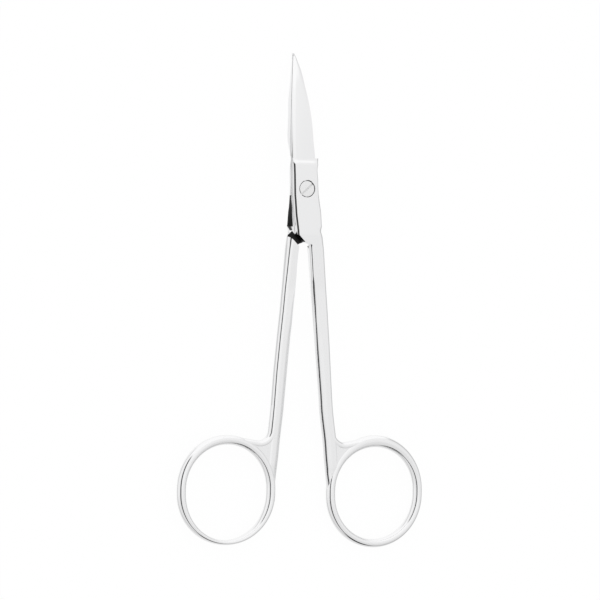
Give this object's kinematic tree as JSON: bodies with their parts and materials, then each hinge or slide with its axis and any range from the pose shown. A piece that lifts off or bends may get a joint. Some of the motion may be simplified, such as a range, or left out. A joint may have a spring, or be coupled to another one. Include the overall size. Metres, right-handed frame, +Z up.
{
  "type": "iris scissors",
  "caption": "Fine surgical scissors with short tapered blades that curve to one side, a slotted pivot screw, slim shanks and round finger rings.",
  "frame": {"origin": "Centre of the footprint, on the surface the scissors rest on", "axes": "+Z up, away from the resting surface; +Y along the scissors towards the tips; +X towards the front half's finger ring"},
  "size_m": [0.0626, 0.1148, 0.0079],
  "materials": {
    "half_steel": "bright satin polish",
    "screw_steel": "turned satin, slotted"
  },
  "bodies": {
    "back": {"back_half": "half_steel", "pivot_screw": "screw_steel"},
    "front": {"front_half": "half_steel"}
  },
  "joints": [
    {"name": "pivot", "type": "hinge", "parent": "back", "child": "front", "pos_m": [0, 0.0254, 0.00578], "axis": [0, -0.0521, 0.9986], "range_deg": [-6, 90]}
  ]
}
